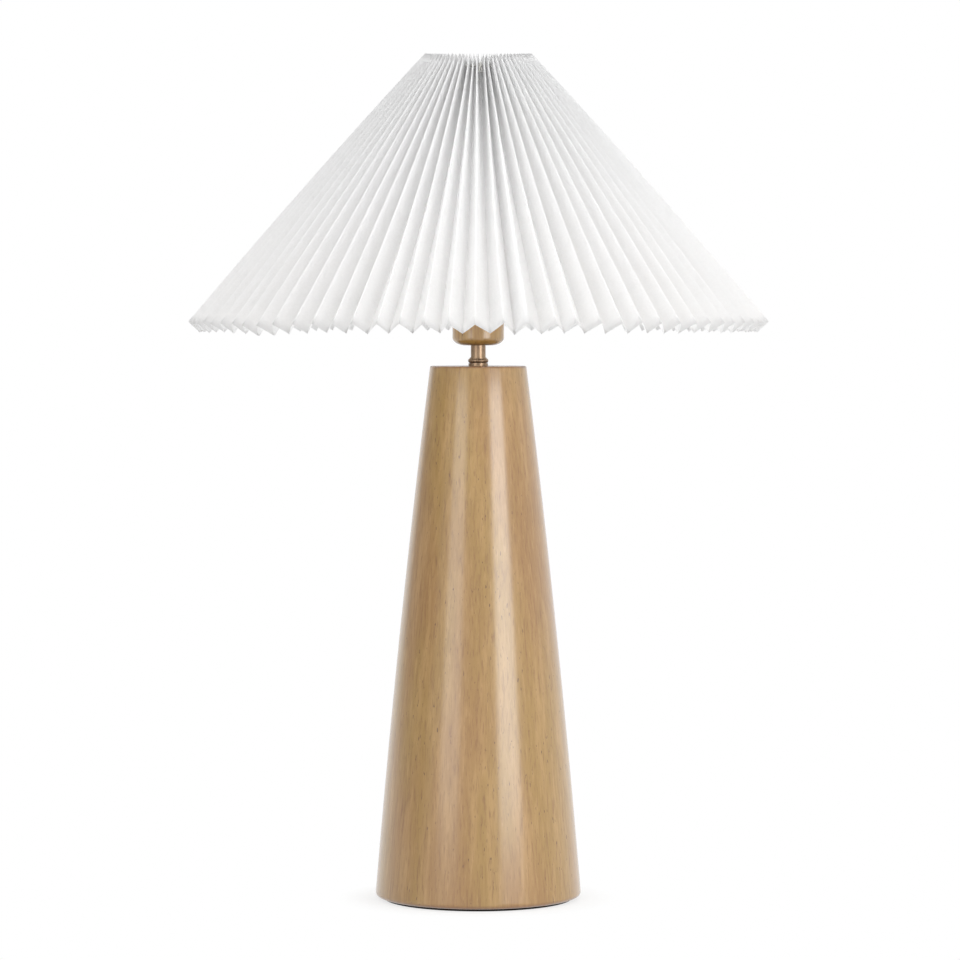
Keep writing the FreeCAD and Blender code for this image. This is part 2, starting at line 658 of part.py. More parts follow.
def sheet_points(down):
    """One section of the sheet, pleat by pleat: its outer and inner points at that distance down."""
    r, z, depth = fold_section(down)
    pitch = 2 * math.pi * r / PLEATS
    land = SHEET_T * PLEAT_WIDTH / (2 * depth)
    nip = SHEET_T * PLEAT_WIDTH / pitch
    step = 360 / PLEATS

    def point(across, degrees, offset=0.0):
        radius = r + across * OUT[0]
        return on_circle(radius, degrees + math.degrees(offset / radius), z + across * OUT[1])

    outer, inner = [], []
    for k in range(PLEATS):
        valley = -90 + k * step
        mountain = valley + step / 2
        outer.append((point(nip - depth / 2, valley), point(depth / 2, mountain, -land),
                      point(depth / 2, mountain, land)))
        inner.append((point(-depth / 2, valley, -land), point(-depth / 2, valley, land),
                      point(depth / 2 - nip, mountain)))
    return outer, inner


def pleated_sheet():
    """The folded strip as a closed solid of flat facets."""
    sections = [sheet_points(FOLD_LENGTH * i / SHADE_STEPS) for i in range(SHADE_STEPS + 1)]
    facets = []

    def facet(*points):
        for b, c in zip(points[1:], points[2:]):
            facets.append(Part.Face(Part.makePolygon([points[0], b, c, points[0]])))

    for (outer_a, inner_a), (outer_b, inner_b) in zip(sections, sections[1:]):
        for side_a, side_b in ((outer_a, outer_b), (inner_a, inner_b)):
            line_a = [p for trio in side_a for p in trio]
            line_b = [p for trio in side_b for p in trio]
            for i, (a, b) in enumerate(zip(line_a, line_b)):
                after = (i + 1) % len(line_a)
                facet(a, line_a[after], line_b[after], b)
    for outer, inner in (sections[0], sections[-1]):
        for k in range(PLEATS):
            valley, left, right = outer[k]
            land_left, land_right, mountain = inner[k]
            after = (k + 1) % PLEATS
            facet(valley, left, mountain, land_right)
            facet(left, right, mountain)
            facet(right, outer[after][0], inner[after][0], mountain)
            facet(valley, land_right, land_left)
    shell = Part.Shell(facets)
    shell.sewShape()
    solid = Part.Solid(shell)
    if solid.Volume < 0:
        solid.reverse()
    return solid


def gathering_lace():
    """The cord threaded through every panel near the top, which gathers the folds."""
    r, z, depth = fold_section(LACE_DOWN)
    return torus(r, LACE_R, z)


TOP_RING_R = wire_ring_r(TOP_RING_Z)
BOTTOM_RING_R = wire_ring_r(BOTTOM_RING_Z)


def top_ring():
    return torus(TOP_RING_R, WIRE_R, TOP_RING_Z)


def bottom_ring():
    return torus(BOTTOM_RING_R, WIRE_R, BOTTOM_RING_Z)


def frame_rib(degrees):
    """A straight wire between the rings, coped to both and welded."""
    start = on_circle(TOP_RING_R, degrees, TOP_RING_Z)
    end = on_circle(BOTTOM_RING_R, degrees, BOTTOM_RING_Z)
    rib = cylinder(WIRE_R, start, end - start, (end - start).Length)
    return largest(rib.cut(top_ring()).cut(bottom_ring()))


def carrier_ring():
    return ring(SKIRT_R + LOOSE, CARRIER_R, CARRIER_Z, CARRIER_H)


def carrier_arm(degrees):
    """A wire from the carrier ring, level past the switch knob and then down to the bottom ring."""
    points = [on_circle(CARRIER_R - WIRE_R, degrees, CARRIER_MID_Z),
              on_circle(ARM_BEND_R, degrees, CARRIER_MID_Z),
              on_circle(BOTTOM_RING_R, degrees, BOTTOM_RING_Z)]
    inside_ring = ring(0, CARRIER_R, CARRIER_MID_Z - 2 * WIRE_R, 4 * WIRE_R)
    return largest(bent_wire(points, WIRE_R).cut(inside_ring).cut(bottom_ring()))


# ---- wiring -----------------------------------------------------------------------------------
def block_screw_places():
    top = COVER_TOP_Z + BLOCK_H - BLOCK_WELL_H
    return [Vector(side * BLOCK_POLE / 2, y, top) for side in (-1, 1)
            for y in (BLOCK_Y + BLOCK_SCREW_IN, BLOCK_Y + BLOCK_DEPTH - BLOCK_SCREW_IN)]


def terminal_block():
    """A two-pole block on the cover, where the supply cord's cores meet the inner leads."""
    well_r, entry_r, entry_depth, groove_w, groove_h = 2.0, 1.9, 5.0, 1.6, 3.0
    block = Part.makeBox(2 * BLOCK_POLE, BLOCK_DEPTH, BLOCK_H, Vector(-BLOCK_POLE, BLOCK_Y, COVER_TOP_Z))
    groove = Vector(-groove_w / 2, BLOCK_Y, COVER_TOP_Z + BLOCK_H - groove_h)
    block = block.cut(Part.makeBox(groove_w, BLOCK_DEPTH, groove_h, groove))
    for place in block_screw_places():
        block = block.cut(cylinder(well_r, place, Z, THROUGH))
    for side in (-1, 1):
        entry = Vector(side * BLOCK_POLE / 2, BLOCK_Y + BLOCK_DEPTH - entry_depth, LEAD_LOW_Z)
        block = block.cut(cylinder(entry_r, entry, Y, THROUGH))
    return block


def block_screws():
    head_r, head_h, slot_w, slot_h = 1.7, 3.0, 0.6, 0.7
    screws = []
    for place in block_screw_places():
        corner = place + Vector(-head_r, -slot_w / 2, head_h - slot_h)
        slot = Part.makeBox(2 * head_r, slot_w, slot_h, corner)
        screws.append(cylinder(head_r, place, Z, head_h).cut(slot))
    return Part.makeCompound(screws)


def inner_lead(side):
    """One insulated lead, from the terminal block up the threaded tube to its switch terminal."""
    straight_out = 8.0
    out_z = ROD_TOP_Z + 2.0
    over_z = ROD_TOP_Z + 9.0
    low = [(BLOCK_POLE / 2, BLOCK_Y, LEAD_LOW_Z), (BLOCK_POLE / 2, BLOCK_Y - straight_out, LEAD_LOW_Z),
           (LEAD_APART, 0, LEAD_LOW_Z)]
    high = [(LEAD_APART, 0, out_z), (LEAD_TOP_X, 0, over_z), (LEAD_TOP_X, 0, TERMINAL_Z)]
    return bent_wire([Vector(side * x, y, z) for x, y, z in low + high], LEAD_R)


# ---- all of the pieces ------------------------------------------------------------------------
os.makedirs("parts", exist_ok=True)
save("wood_body", wood_body())
save("felt_pad", felt_pad())
save("bottom_cover", bottom_cover())
save("base_plate", base_plate())
save("base_screws", base_screws())
save("ballast", ballast())
save("cord_bush", cord_bush())
save("threaded_tube", threaded_tube())
save("lower_washer", ring(ROD_HOLE_R, WASHER_R, PLATE_Z - WASHER_H, WASHER_H))
save("lower_nut", hex_nut(NUT_FLATS, ROD_R, PLATE_Z - WASHER_H - NUT_H, NUT_H))
save("upper_washer", ring(ROD_HOLE_R, WASHER_R, BALLAST_TOP_Z, WASHER_H))
save("upper_nut", hex_nut(NUT_FLATS, ROD_R, BALLAST_TOP_Z + WASHER_H, NUT_H))
save("seat_ring", seat_ring())
save("neck_tube", neck_tube())
save("wood_cup", wood_cup())
save("holder_cap", holder_cap())
save("holder_body", holder_body())
save("screw_shell", screw_shell())
save("centre_contact", centre_contact())
save("switch_block", switch_block())
save("switch_terminals", switch_terminals())
save("terminal_screws", terminal_screws())
save("switch_collar", switch_collar())
save("switch_rotor", switch_rotor())
save("switch_spindle", switch_spindle())
save("switch_knob", switch_knob())
save("slip_washer", slip_washer())
save("clamp_ring", clamp_ring())
save("bulb_tip", bulb_tip())
save("bulb_insulator", bulb_insulator())
save("bulb_cap", bulb_cap())
save("bulb_glass", bulb_glass())
save("pleated_sheet", pleated_sheet())
save("gathering_lace", gathering_lace())
save("top_ring", top_ring())
save("bottom_ring", bottom_ring())
for i in range(RIBS):
    save(f"frame_rib_{i + 1}", frame_rib(FIRST_RIB + i * 360 / RIBS))
save("carrier_ring", carrier_ring())
for i in range(ARMS):
    save(f"carrier_arm_{i + 1}", carrier_arm(FIRST_ARM + i * 360 / ARMS))
save("terminal_block", terminal_block())
save("block_screws", block_screws())
save("lead_live", inner_lead(1))
save("lead_neutral", inner_lead(-1))
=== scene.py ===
import math
import random

import bmesh
import bpy
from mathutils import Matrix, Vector, noise


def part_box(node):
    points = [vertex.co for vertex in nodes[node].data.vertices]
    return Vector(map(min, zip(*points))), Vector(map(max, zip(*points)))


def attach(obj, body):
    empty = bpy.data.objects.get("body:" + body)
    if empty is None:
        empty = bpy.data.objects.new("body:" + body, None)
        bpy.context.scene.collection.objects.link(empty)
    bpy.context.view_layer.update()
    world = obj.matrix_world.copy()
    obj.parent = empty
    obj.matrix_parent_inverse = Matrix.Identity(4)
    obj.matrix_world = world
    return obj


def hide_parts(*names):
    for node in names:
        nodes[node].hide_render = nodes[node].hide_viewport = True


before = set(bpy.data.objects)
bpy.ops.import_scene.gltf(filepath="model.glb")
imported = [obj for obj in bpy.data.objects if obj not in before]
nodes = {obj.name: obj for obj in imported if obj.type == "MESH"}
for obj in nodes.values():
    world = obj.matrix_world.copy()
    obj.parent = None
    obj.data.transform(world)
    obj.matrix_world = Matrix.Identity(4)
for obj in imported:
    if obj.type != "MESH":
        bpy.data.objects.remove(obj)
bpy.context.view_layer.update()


# ---- Camera -----------------------------------------------------------------------------------
# A long lens a little over three metres away. It stands higher than the middle of the lamp and looks
# slightly down, so that the rim of the shade and the foot both curve a little.
EYE = Vector((0.0014, -3.22, 0.4688))
LOOKS_DOWN = math.radians(2.395)
LENS_MM = 151.8
bpy.ops.object.camera_add(location=EYE, rotation=(math.radians(90) - LOOKS_DOWN, 0, 0))
camera = bpy.context.object
camera.data.lens = LENS_MM
camera.data.clip_end = 60.0
bpy.context.scene.camera = camera


# ---- Floor, surroundings and lamps ---------------------------------------------------------------
# A pale floor that keeps the lamp's shadow, and white surroundings whose light is a little stronger
# behind and to the right, with a grey board at the left that only glossy things show. Two upright soft
# lights stand in front, and two hang high at the sides.
FLOOR_HALF = 12.0
FLOOR_GREY = 0.9
PLAIN_WHITE = 1.0
SHADOW_SHARE = 0.25         # how much of the floor's own shading shows beside the foot
SHADOW_STARTS, SHADOW_ENDS = 0.080, 0.115       # it fades to white between these, in metres from the axis


class Output:
    """One output of a material's nodes. Sums, differences and products of outputs add Math nodes."""

    def __init__(self, tree, socket=None):
        self.tree = tree
        self.socket = socket

    def node(self, kind, settings=None, sockets=None, out=0):
        """Any other node: its settings go first, then the values or links of its sockets."""
        made = self.tree.nodes.new("ShaderNode" + kind)
        for name, value in (settings or {}).items():
            setattr(made, name, value)
        for name, value in (sockets or {}).items():
            if isinstance(value, Output):
                self.tree.links.new(value.socket, made.inputs[name])
            else:
                made.inputs[name].default_value = value
        return Output(self.tree, made.outputs[out])

    def math(self, operation, first, second=0.0):
        return self.node("Math", {"operation": operation}, {0: first, 1: second})

    def __add__(self, other):
        return self.math("ADD", self, other)

    __radd__ = __add__

    def __mul__(self, other):
        return self.math("MULTIPLY", self, other)

    __rmul__ = __mul__

    def __sub__(self, other):
        return self.math("SUBTRACT", self, other)

    def __rsub__(self, other):
        return self.math("SUBTRACT", other, self)

    def __gt__(self, other):
        return self.math("GREATER_THAN", self, other)


def new_material(name):
    material = bpy.data.materials.new(name)
    material.use_nodes = True
    material.node_tree.nodes.clear()
    return material, Output(material.node_tree)


def show(material, shader):
    """Puts a shader on the material's surface."""
    end = material.node_tree.nodes.new("ShaderNodeOutputMaterial")
    material.node_tree.links.new(shader.socket, end.inputs["Surface"])
    return material


def between(m, value, low, high):
    """0 below low and 1 above high, with a smooth step between them."""
    settings = {"interpolation_type": "SMOOTHSTEP"}
    return m.node("MapRange", settings, {"Value": value, "From Min": low, "From Max": high})


def ray_kind(m, name):
    return m.node("LightPath", {}, {}, out=name)


def seen_by_eye(m):
    """1 for rays that show a surface, straight, mirrored or through glass, and 0 for all others."""
    turned_aside = m.math("MAXIMUM", ray_kind(m, "Is Glossy Ray"), ray_kind(m, "Is Transmission Ray"))
    return m.math("MAXIMUM", ray_kind(m, "Is Camera Ray"), turned_aside)


bpy.ops.mesh.primitive_plane_add(size=2 * FLOOR_HALF, location=(0, 0, 0))
floor = bpy.context.object
floor.name = "floor"
floor_paint, m = new_material("floor_paint")
matt = m.node("BsdfDiffuse", {}, {"Color": (FLOOR_GREY,) * 3 + (1,)})
white = m.node("Emission", {}, {"Color": (1, 1, 1, 1), "Strength": PLAIN_WHITE})
place = m.node("TexCoord", {}, {}, out="Object")
away = m.node("VectorMath", {"operation": "LENGTH"}, {0: place}, out="Value")
glow = 1 - SHADOW_SHARE * (1 - between(m, away, SHADOW_STARTS, SHADOW_ENDS))
paint = m.node("MixShader", {}, {0: seen_by_eye(m) * glow, 1: matt, 2: white})
under = m.node("NewGeometry", {}, {}, out="Backfacing")
show(floor_paint, m.node("MixShader", {}, {0: under, 1: paint, 2: m.node("BsdfTransparent")}))
floor.data.materials.append(floor_paint)

world = bpy.data.worlds.new("surroundings")
world.use_nodes = True
world.node_tree.nodes.clear()
bpy.context.scene.world = world
AMBIENT = 0.72              # mean strength of the surroundings' light
STRONGER = (0.14, 0.22, 0.0)        # how much stronger it is from the right and from behind
BOARD_TOWARDS = (-0.97, 0.20, 0.0)  # where the grey board stands
BOARD_ENDS, BOARD_FULL = 0.74, 0.90         # cosines off that direction, where it ends and is at its darkest
BOARD_DARK = 0.6
w = Output(world.node_tree)
towards = w.node("TexCoord", {}, {}, out="Generated")
diffuse = AMBIENT + w.node("VectorMath", {"operation": "DOT_PRODUCT"}, {0: towards, 1: STRONGER}, out="Value")
facing = w.node("VectorMath", {"operation": "DOT_PRODUCT"}, {0: towards, 1: BOARD_TOWARDS}, out="Value")
board = ray_kind(w, "Is Glossy Ray") * between(w, facing, BOARD_ENDS, BOARD_FULL) * BOARD_DARK
strength = diffuse + seen_by_eye(w) * (PLAIN_WHITE - board - diffuse)
sky = w.node("Background", {}, {"Color": (1, 1, 1, 1), "Strength": strength})
end = world.node_tree.nodes.new("ShaderNodeOutputWorld")
world.node_tree.links.new(sky.socket, end.inputs["Surface"])
bpy.context.scene.view_settings.view_transform = "Standard"

LAMPS = (       # name, degrees to the right, metres away, height, height aimed at, width, length, watts
    ("front_right", 39, 1.7, 0.56, 0.44, 0.85, 0.9, 9.8),
    ("front_left", -36, 1.7, 0.58, 0.46, 0.75, 0.9, 3.9),
    ("high_right", 78, 1.0, 1.7, 0.55, 0.9, 0.9, 7.5),
    ("high_left", -82, 1.0, 1.7, 0.55, 0.9, 0.9, 5.5))
for name, degrees, away, height, aim, wide, length, watts in LAMPS:
    a = math.radians(degrees)
    place = Vector((away * math.sin(a), -away * math.cos(a), height))
    bpy.ops.object.light_add(type="AREA", location=place)
    lamp = bpy.context.object
    lamp.name = name
    lamp.data.shape = "RECTANGLE"
    lamp.data.size, lamp.data.size_y = wide, length
    lamp.data.energy = watts
    lamp.rotation_euler = (Vector((0, 0, aim)) - place).to_track_quat("-Z", "Y").to_euler()


# ---- Wooden body ---------------------------------------------------------------------------------
# A hollow cone turned from a glued block of pale hardwood, with a slightly bowed side. It is stained
# a warm honey brown and sprayed with satin lacquer. Its top edge and foot are painted darker, as painted
# shade.
AROUND = 160                # how many facets a turned piece has


def turned(name, profile):
    """Draws a profile of (radius, height) points round the axis, ring by ring, as on a lathe."""
    bpy.ops.object.select_all(action="DESELECT")
    r, z = profile[0]
    bpy.ops.mesh.primitive_circle_add(vertices=AROUND, radius=r, location=(0, 0, z))
    piece = bpy.context.object
    piece.name = name
    bpy.ops.object.transform_apply(location=True, rotation=True, scale=True)
    bpy.ops.object.mode_set(mode="EDIT")
    bpy.ops.mesh.select_all(action="SELECT")
    for next_r, next_z in profile[1:] + profile[:1]:
        bpy.ops.mesh.extrude_edges_move(TRANSFORM_OT_translate={"value": (0, 0, next_z - z)})
        bpy.ops.transform.resize(value=(next_r / r, next_r / r, 1), center_override=(0, 0, next_z))
        r, z = next_r, next_z
    bpy.ops.mesh.select_all(action="SELECT")
    bpy.ops.mesh.remove_doubles(threshold=0.000002)
    bpy.ops.mesh.normals_make_consistent(inside=False)
    bpy.ops.object.mode_set(mode="OBJECT")
    return piece


def arc(centre_r, centre_z, radius, start, end, steps):
    """Points of a round stretch of a profile, between two angles in degrees from straight out."""
    points = []
    for i in range(steps + 1):
        a = math.radians(start + (end - start) * i / steps)
        points.append((centre_r + radius * math.cos(a), centre_z + radius * math.sin(a)))
    return points


def smooth(piece, degrees=35):
    bpy.ops.object.select_all(action="DESELECT")
    piece.select_set(True)
    bpy.context.view_layer.objects.active = piece
    bpy.ops.object.shade_smooth_by_angle(angle=math.radians(degrees))


low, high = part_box("wood_body")
BODY_LOW, BODY_HIGH = low.z, high.z
BODY_BOTTOM_R, BODY_TOP_R = 0.0822, 0.0383
BODY_BULGE = 0.0022
FOOT_EDGE, TOP_EDGE = 0.0035, 0.0012
RECESS_R, CHAMBER_R, ROD_HOLE_R = 0.0721, 0.068, 0.0053
RECESS_TOP, CHAMBER_TOP = 0.005, 0.040
HOLLOW_TOP_R, HOLLOW_FOOT_R = 0.020, 0.056
TOP_WALL = 0.03             # how much solid wood is left over the hollow
EDGE_GAP = 0.001            # between the rounding of an edge and the first point of the side
SIDE_STEPS = 40


def body_radius(z):
    share = (z - BODY_LOW) / (BODY_HIGH - BODY_LOW)
    straight = BODY_BOTTOM_R + (BODY_TOP_R - BODY_BOTTOM_R) * share
    return straight + BODY_BULGE * 4 * share * (1 - share)


foot = arc(body_radius(BODY_LOW + FOOT_EDGE) - FOOT_EDGE, BODY_LOW + FOOT_EDGE, FOOT_EDGE, -90, 0, 8)
rim = arc(body_radius(BODY_HIGH - TOP_EDGE) - TOP_EDGE, BODY_HIGH - TOP_EDGE, TOP_EDGE, 0, 90, 5)
side_low, side_high = BODY_LOW + FOOT_EDGE + EDGE_GAP, BODY_HIGH - TOP_EDGE - EDGE_GAP
heights = [side_low + (side_high - side_low) * i / SIDE_STEPS for i in range(SIDE_STEPS + 1)]
side = [(body_radius(z), z) for z in heights]
wooden_body = turned("wooden_body", foot + side + rim + [
    (ROD_HOLE_R, BODY_HIGH), (ROD_HOLE_R, BODY_HIGH - TOP_WALL), (HOLLOW_TOP_R, BODY_HIGH - TOP_WALL),
    (HOLLOW_FOOT_R, CHAMBER_TOP), (CHAMBER_R, CHAMBER_TOP), (CHAMBER_R, RECESS_TOP),
    (RECESS_R, RECESS_TOP), (RECESS_R, BODY_LOW)])
smooth(wooden_body)


def srgb(red, green, blue):
    """A colour as it is seen on a screen, 0 to 255, as the linear colour that a shader takes."""
    shares = [c / 255 for c in (red, green, blue)]
    return tuple(c / 12.92 if c < 0.04045 else ((c + 0.055) / 1.055) ** 2.4 for c in shares)


def noise_at(m, place, size, detail, rough, stretch=None):
    """Soft noise with lumps of about that size, in metres, longer along an axis by its stretch."""
    if stretch:
        place = m.node("Mapping", {}, {"Vector": place, "Scale": tuple(1 / s for s in stretch)})
    sockets = {"Vector": place, "Scale": 1 / size, "Detail": detail, "Roughness": rough}
    return m.node("TexNoise", {}, sockets, out=0)


def tint(m, share, first, second):
    """A mix of two colours, each a colour value or an output."""
    first = first if isinstance(first, Output) else (*first, 1)
    second = second if isinstance(second, Output) else (*second, 1)
    sockets = {0: share, 6: first, 7: second}
    return m.node("Mix", {"data_type": "RGBA"}, sockets, out=2)


def relief(m, height, depth):
    """A bump from a height of 0 to 1 that is that deep, in metres."""
    return m.node("Bump", {}, {"Height": height, "Strength": 1.0, "Distance": depth})


WOOD_PALE = srgb(190, 152, 98)
WOOD_MID = srgb(158, 118, 66)
WOOD_OLIVE = srgb(160, 125, 64)
WOOD_BROWN = srgb(126, 87, 46)
PORE = srgb(78, 50, 30)
PAINTED_EDGE_SHADE = srgb(122, 76, 42)
CLOUD, BAND, STREAK, HAIR, TICK = 0.040, 0.011, 0.0021, 0.0010, 0.0013      # how wide the grain's marks are


def stained_wood(name, rims):
    """Lacquered wood with upright grain. Each rim is a height, and how far painted shade darkens the wood
    from there.
    """
    material, m = new_material(name)
    place = m.node("TexCoord", {}, {}, out="Object")
    clouds = noise_at(m, place, CLOUD, 2.0, 0.5, (1, 1, 5))
    bands = noise_at(m, place, BAND, 3.0, 0.6, (1, 1, 16))
    streaks = noise_at(m, place, STREAK, 4.0, 0.65, (1, 1, 24))
    hairs = noise_at(m, place, HAIR, 2.0, 0.6, (1, 1, 22))
    ground = tint(m, between(m, clouds, 0.36, 0.64), WOOD_MID, WOOD_OLIVE)
    ground = tint(m, between(m, bands, 0.45, 0.72) * 0.45, ground, WOOD_PALE)
    ground = tint(m, between(m, streaks, 0.50, 0.74) * 0.60, ground, WOOD_BROWN)
    ground = tint(m, between(m, streaks, 0.48, 0.26) * 0.45, ground, WOOD_PALE)
    ground = tint(m, between(m, hairs, 0.55, 0.72) * 0.50, ground, WOOD_BROWN)
    ticks = noise_at(m, place, TICK, 2.0, 0.4, (1, 1, 5))
    crowded = between(m, clouds, 0.40, 0.60) * 0.045
    spots = between(m, ticks + crowded, 0.735, 0.775)
    ground = tint(m, spots * 0.75, ground, PORE)
    height = m.node("SeparateXYZ", {}, {"Vector": place}, out="Z")
    edge = None
    for z, reach in rims:
        away = m.math("ABSOLUTE", height - z)
        near = 1 - between(m, away, 0.0, reach)
        edge = near if edge is None else m.math("MAXIMUM", edge, near)
    # painted shade: the wood is painted darker near each rim, in place of the shade along that edge
    ground = tint(m, edge * 0.75, ground, PAINTED_EDGE_SHADE)
    rough = 0.34 + 0.10 * bands + 0.10 * spots
    grain = relief(m, 0.6 * streaks + 0.4 * (1 - spots), 0.00012)
    coat = {"Base Color": ground, "Roughness": rough, "Specular IOR Level": 0.25, "Normal": grain,
            "Coat Weight": 1.0, "Coat Roughness": 0.2, "Coat IOR": 1.7}
    return show(material, m.node("BsdfPrincipled", {}, coat))


# how far the painted shade at the foot and at the top edge reaches
FOOT_DARK, TOP_DARK = 0.004, 0.0025         # how far the darker edges reach
body_wood = stained_wood("body_wood", [(BODY_LOW, FOOT_DARK), (BODY_HIGH, TOP_DARK)])
wooden_body.data.materials.append(body_wood)
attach(wooden_body, "stand")
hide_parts("wood_body")


# ---- Base plate ----------------------------------------------------------------------------------
# A disc of birch plywood, whose plies show as stripes at its edge. Four wood screws hold it up against
# the ledge inside the body, and the tube's lower nut pulls on it.
PLY_T = 0.0013


def wear(material, *names):
    for name in names:
        nodes[name].material_slots[0].material = material


plywood, m = new_material("birch_plywood")
place = m.node("TexCoord", {}, {}, out="Object")
figure = noise_at(m, place, 0.004, 4.0, 0.6, (14, 1, 1))
height = m.node("SeparateXYZ", {}, {"Vector": place}, out="Z")
ply = m.math("PINGPONG", height * (1 / PLY_T), 1.0) > 0.5
birch = tint(m, between(m, figure, 0.35, 0.7), srgb(214, 184, 142), srgb(190, 154, 108))
birch = tint(m, ply * 0.4, birch, srgb(156, 118, 78))
show(plywood, m.node("BsdfPrincipled", {}, {
    "Base Color": birch, "Roughness": 0.6 + 0.15 * figure, "Specular IOR Level": 0.3,
    "Normal": relief(m, figure, 0.0001)}))
wear(plywood, "base_plate")


# ---- Ballast -------------------------------------------------------------------------------------
# A disc of grey cast iron, with a sandy skin from its mould. It lies on the base plate under the upper
# washer and nut, and keeps the lamp upright under its wide shade.


def finish(name, first, second, patch, rough, grain, depth, metal=0.0, stretch=None, fixed=None):
    """A plain finish of two close colours in soft patches, with an uneven gloss and a fine relief."""
    material, m = new_material(name)
    place = m.node("TexCoord", {}, {}, out="Object")
    patches = noise_at(m, place, patch, 3.0, 0.55)
    texture = noise_at(m, place, grain, 3.0, 0.6, stretch)
    sockets = {"Base Color": tint(m, between(m, patches, 0.36, 0.64), first, second), "Metallic": metal,
               "Roughness": rough + 0.12 * patches, "Normal": relief(m, texture, depth)}
    return show(material, m.node("BsdfPrincipled", {}, {**sockets, **(fixed or {})}))


iron = finish("cast_iron", srgb(66, 66, 68), srgb(84, 82, 80), 0.010, 0.55, metal=0.8, grain=0.0012,
              depth=0.0003)
wear(iron, "ballast")


# ---- Threaded tube and its fasteners -------------------------------------------------------------
# A steel tube with a fine thread down its whole length, two washers, two nuts, and the wood screws
# of the base plate. All are zinc plated, bluish and a little patchy. The tube pulls body, neck and cup
# together.
THREAD_PITCH = 0.001
ZINC, ZINC_BLUE = srgb(186, 187, 190), srgb(164, 170, 180)
zinc = finish("zinc_plate", ZINC, ZINC_BLUE, 0.006, 0.26, metal=1.0, grain=0.0004, depth=0.00002)
wear(zinc, "lower_washer", "lower_nut", "upper_washer", "upper_nut", "base_screws")
threaded, m = new_material("zinc_thread")
place = m.node("TexCoord", {}, {}, out="Object")
x, y, z = (m.node("SeparateXYZ", {}, {"Vector": place}, out=axis) for axis in "XYZ")
turns = m.math("ARCTAN2", y, x) * (0.5 / math.pi) + z * (1 / THREAD_PITCH)
ridge = m.math("PINGPONG", turns, 0.5) * 2
patches = noise_at(m, place, 0.006, 3.0, 0.55)
plate = tint(m, between(m, patches, 0.36, 0.64), ZINC, ZINC_BLUE)
# painted shade: the thread's grooves are painted darker than its crests
plate = tint(m, between(m, ridge, 0.45, 0.0) * 0.5, plate, srgb(90, 92, 96))
show(threaded, m.node("BsdfPrincipled", {}, {
    "Base Color": plate, "Metallic": 1.0, "Roughness": 0.28 + 0.12 * patches,
    "Normal": relief(m, ridge, 0.0004)}))
wear(threaded, "threaded_tube")


# ---- Cord bush -----------------------------------------------------------------------------------
# A moulded rubber bush, pressed in the hole at the back of the foot. It lines the way in for the
# supply cord.
rubber = finish("black_rubber", srgb(34, 33, 32), srgb(46, 45, 44), 0.004, 0.55, grain=0.0006, depth=0.00006)
wear(rubber, "cord_bush")


# ---- Bottom cover --------------------------------------------------------------------------------
# A disc of brown hardboard, pressed from wood fibres and cut round. It is set in the recess of the
# body's foot, and closes the chamber.
hardboard = finish("brown_hardboard", srgb(128, 98, 68), srgb(148, 116, 84), 0.012, 0.6, grain=0.0007,
                   depth=0.0001, fixed={"Specular IOR Level": 0.3})
wear(hardboard, "bottom_cover")


# ---- Felt pad ------------------------------------------------------------------------------------
# A disc of black wool felt, punched from a sheet. It is glued under the bottom cover, so that the lamp
# doesn't mark the table.
felt, m = new_material("black_felt")
place = m.node("TexCoord", {}, {}, out="Object")
matted = noise_at(m, place, 0.0012, 6.0, 0.75)
worn = noise_at(m, place, 0.02, 2.0, 0.5)
wool = tint(m, between(m, matted, 0.35, 0.7), srgb(30, 27, 25), srgb(58, 54, 50))
wool = tint(m, between(m, worn, 0.5, 0.75) * 0.3, wool, srgb(70, 66, 62))
show(felt, m.node("BsdfPrincipled", {}, {
    "Base Color": wool, "Roughness": 0.92 + 0.08 * matted, "Specular IOR Level": 0.1, "Sheen Weight": 0.15,
    "Normal": relief(m, matted, 0.0005)}))
wear(felt, "felt_pad")


# ---- Neck ----------------------------------------------------------------------------------------
# A short brass tube over the threaded tube, on a turned brass foot with a flange, a dark groove, a
# rounded bead and a thin lip. The brass is darkened to an antique brown and rubbed back a little.
BRASS = srgb(156, 132, 108)
BRASS_DARK = srgb(108, 88, 68)
neck_brass, m = new_material("neck_brass")
place = m.node("TexCoord", {}, {}, out="Object")
patches = noise_at(m, place, 0.006, 4.0, 0.6)
turning = noise_at(m, place, 0.0006, 2.0, 0.5, (30, 30, 1))
dark = between(m, patches, 0.40, 0.75) * 0.5
show(neck_brass, m.node("BsdfPrincipled", {}, {
    "Base Color": tint(m, dark, BRASS, BRASS_DARK), "Metallic": 1.0, "Roughness": 0.26 + 0.12 * patches,
    "Normal": relief(m, turning, 0.00002)}))
wear(neck_brass, "seat_ring", "neck_tube")


